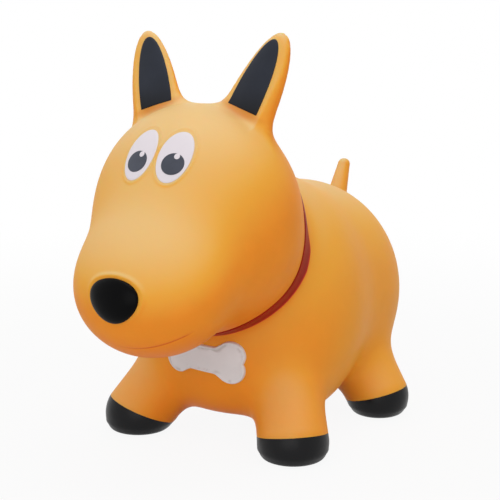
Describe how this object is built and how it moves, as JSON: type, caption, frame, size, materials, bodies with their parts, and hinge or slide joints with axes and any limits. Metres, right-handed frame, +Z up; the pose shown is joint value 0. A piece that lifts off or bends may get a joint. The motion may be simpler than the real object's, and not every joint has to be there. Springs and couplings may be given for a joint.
{
  "type": "bouncy ride on animal",
  "caption": "Blow-up bouncing dog to sit astride: hollow soft skin with flat-soled feet, tall ears to hold, a collar with a bone and an air plug under the belly.",
  "frame": {"origin": "on the floor, in the middle of the bounding box seen from above", "axes": "+Z up, -Y the way the dog faces, +X to the dog's own left; the soles lie on z = 0"},
  "size_m": [0.3403, 0.5801, 0.5079],
  "materials": {
    "skin_orange": "satin sprayed soft PVC",
    "foot_black": "satin sprayed soft PVC",
    "collar_red": "satin sprayed soft PVC",
    "bone_grey": "pale pearly sprayed soft PVC",
    "nose_black": "gloss sprayed soft PVC",
    "eye_white": "satin print on soft PVC",
    "eye_dark": "satin print on soft PVC",
    "eye_glint": "satin print on soft PVC",
    "lining_grey": "satin sprayed soft PVC",
    "valve_soft_white": "smooth soft PVC",
    "plug_white": "smooth"
  },
  "bodies": {
    "hopper": {"body_shell": "skin_orange", "foot_front_left": "foot_black", "foot_front_right": "foot_black", "foot_rear_left": "foot_black", "foot_rear_right": "foot_black", "collar_band": "collar_red", "bone_tag": "bone_grey", "nose": "nose_black", "eye_white_left": "eye_white", "eye_white_right": "eye_white", "pupil_left": "eye_dark", "pupil_right": "eye_dark", "eye_glint_left": "eye_glint", "eye_glint_right": "eye_glint", "ear_lining_left": "lining_grey", "ear_lining_right": "lining_grey", "valve_seat": "valve_soft_white"},
    "plug": {"air_plug": "plug_white"}
  },
  "joints": [
    {"name": "plug_pull", "type": "slide", "parent": "hopper", "child": "plug", "axis": [0, 0, -1], "range_m": [0, 0.018]}
  ]
}
